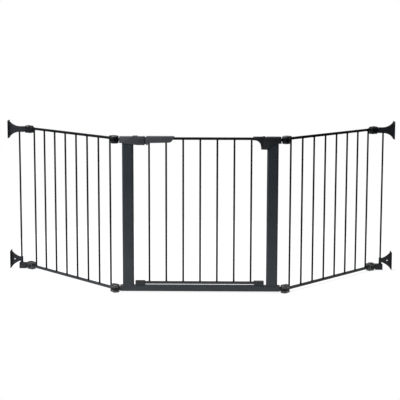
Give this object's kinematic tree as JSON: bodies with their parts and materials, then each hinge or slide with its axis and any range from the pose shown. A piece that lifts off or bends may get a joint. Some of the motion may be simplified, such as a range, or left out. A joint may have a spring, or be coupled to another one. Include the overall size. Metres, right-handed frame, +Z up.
{
  "type": "safety gate",
  "caption": "Folding metal safety gate with a self-closing walk-through door, a thumb-slide latch, barred side panels and swivelling wall mounts.",
  "frame": {"origin": "on the floor, in the middle of the gate's length and depth", "axes": "+X along the gate from its latch side to its hinge side, +Y from its front to its back, where the wall mounts are, +Z up"},
  "size_m": [1.9072, 0.4334, 0.75],
  "materials": {
    "charcoal_steel": "satin powder coat, charcoal",
    "grey_plastic": "fine-grained moulded plastic, mid grey",
    "dark_plastic": "fine-grained moulded plastic, near black",
    "bare_steel": "zinc-plated fasteners, satin"
  },
  "bodies": {
    "centre_frame": {"threshold_tube": "charcoal_steel", "left_post": "charcoal_steel", "right_post": "charcoal_steel", "left_upper_tongue": "charcoal_steel", "left_lower_tongue": "charcoal_steel", "right_upper_tongue": "charcoal_steel", "right_lower_tongue": "charcoal_steel", "frame_lock_screws": "bare_steel", "latch_housing_front": "grey_plastic", "latch_housing_back": "grey_plastic", "latch_housing_screws": "bare_steel", "strike_plate": "bare_steel", "hinge_housing_front": "dark_plastic", "hinge_housing_back": "dark_plastic", "hinge_housing_screws": "bare_steel", "upper_hinge_pin": "bare_steel", "lower_hinge_pin": "bare_steel"},
    "door": {"door_top_rail": "charcoal_steel", "door_bottom_rail": "charcoal_steel", "door_bars": "charcoal_steel", "handle_front_shell": "grey_plastic", "handle_back_shell": "grey_plastic", "handle_screws": "bare_steel", "upper_hinge_fitting": "dark_plastic", "lower_hinge_block": "dark_plastic", "lower_latch_block": "dark_plastic", "closing_spring": "bare_steel", "latch_spring": "bare_steel"},
    "latch_slider": {"thumb_slider": "grey_plastic", "latch_bolt": "bare_steel"},
    "left_panel": {"left_panel_top_rail": "charcoal_steel", "left_panel_bottom_rail": "charcoal_steel", "left_panel_bars": "charcoal_steel", "left_inner_upper_fork": "charcoal_steel", "left_inner_lower_fork": "charcoal_steel", "left_outer_upper_fork": "charcoal_steel", "left_outer_lower_fork": "charcoal_steel", "left_pivot_bolts": "bare_steel", "left_pivot_nuts": "bare_steel"},
    "left_wall_mount": {"left_upper_bracket": "charcoal_steel", "left_lower_bracket": "charcoal_steel", "left_mount_rod": "charcoal_steel", "left_foot_block": "charcoal_steel", "left_mount_screws": "bare_steel"},
    "right_panel": {"right_panel_top_rail": "charcoal_steel", "right_panel_bottom_rail": "charcoal_steel", "right_panel_bars": "charcoal_steel", "right_inner_upper_fork": "charcoal_steel", "right_inner_lower_fork": "charcoal_steel", "right_outer_upper_fork": "charcoal_steel", "right_outer_lower_fork": "charcoal_steel", "right_pivot_bolts": "bare_steel", "right_pivot_nuts": "bare_steel"},
    "right_wall_mount": {"right_upper_bracket": "charcoal_steel", "right_lower_bracket": "charcoal_steel", "right_mount_rod": "charcoal_steel", "right_foot_block": "charcoal_steel", "right_mount_screws": "bare_steel"}
  },
  "joints": [
    {"name": "door_hinge", "type": "hinge", "parent": "centre_frame", "child": "door", "pos_m": [0.2867, -0.19817, 0.36], "axis": [0, 0, -1], "range_deg": [0, 90], "stiffness_Nm_per_rad": 0.35},
    {"name": "latch_slide", "type": "slide", "parent": "door", "child": "latch_slider", "axis": [1, 0, 0], "range_m": [0, 0.007], "stiffness_N_per_m": 600, "springref_m": -0.004, "deforming": ["latch_spring"]},
    {"name": "left_panel_pivot", "type": "hinge", "parent": "centre_frame", "child": "left_panel", "pos_m": [-0.387, -0.19817, 0.361], "axis": [0, 0, 1], "range_deg": [-50, 130]},
    {"name": "right_panel_pivot", "type": "hinge", "parent": "centre_frame", "child": "right_panel", "pos_m": [0.387, -0.19817, 0.361], "axis": [0, 0, 1], "range_deg": [-130, 50]},
    {"name": "left_wall_pivot", "type": "hinge", "parent": "left_panel", "child": "left_wall_mount", "pos_m": [-0.85398, 0.19367, 0.361], "axis": [0, 0, 1], "range_deg": [-90, 45]},
    {"name": "right_wall_pivot", "type": "hinge", "parent": "right_panel", "child": "right_wall_mount", "pos_m": [0.85398, 0.19367, 0.361], "axis": [0, 0, 1], "range_deg": [-45, 90]}
  ]
}
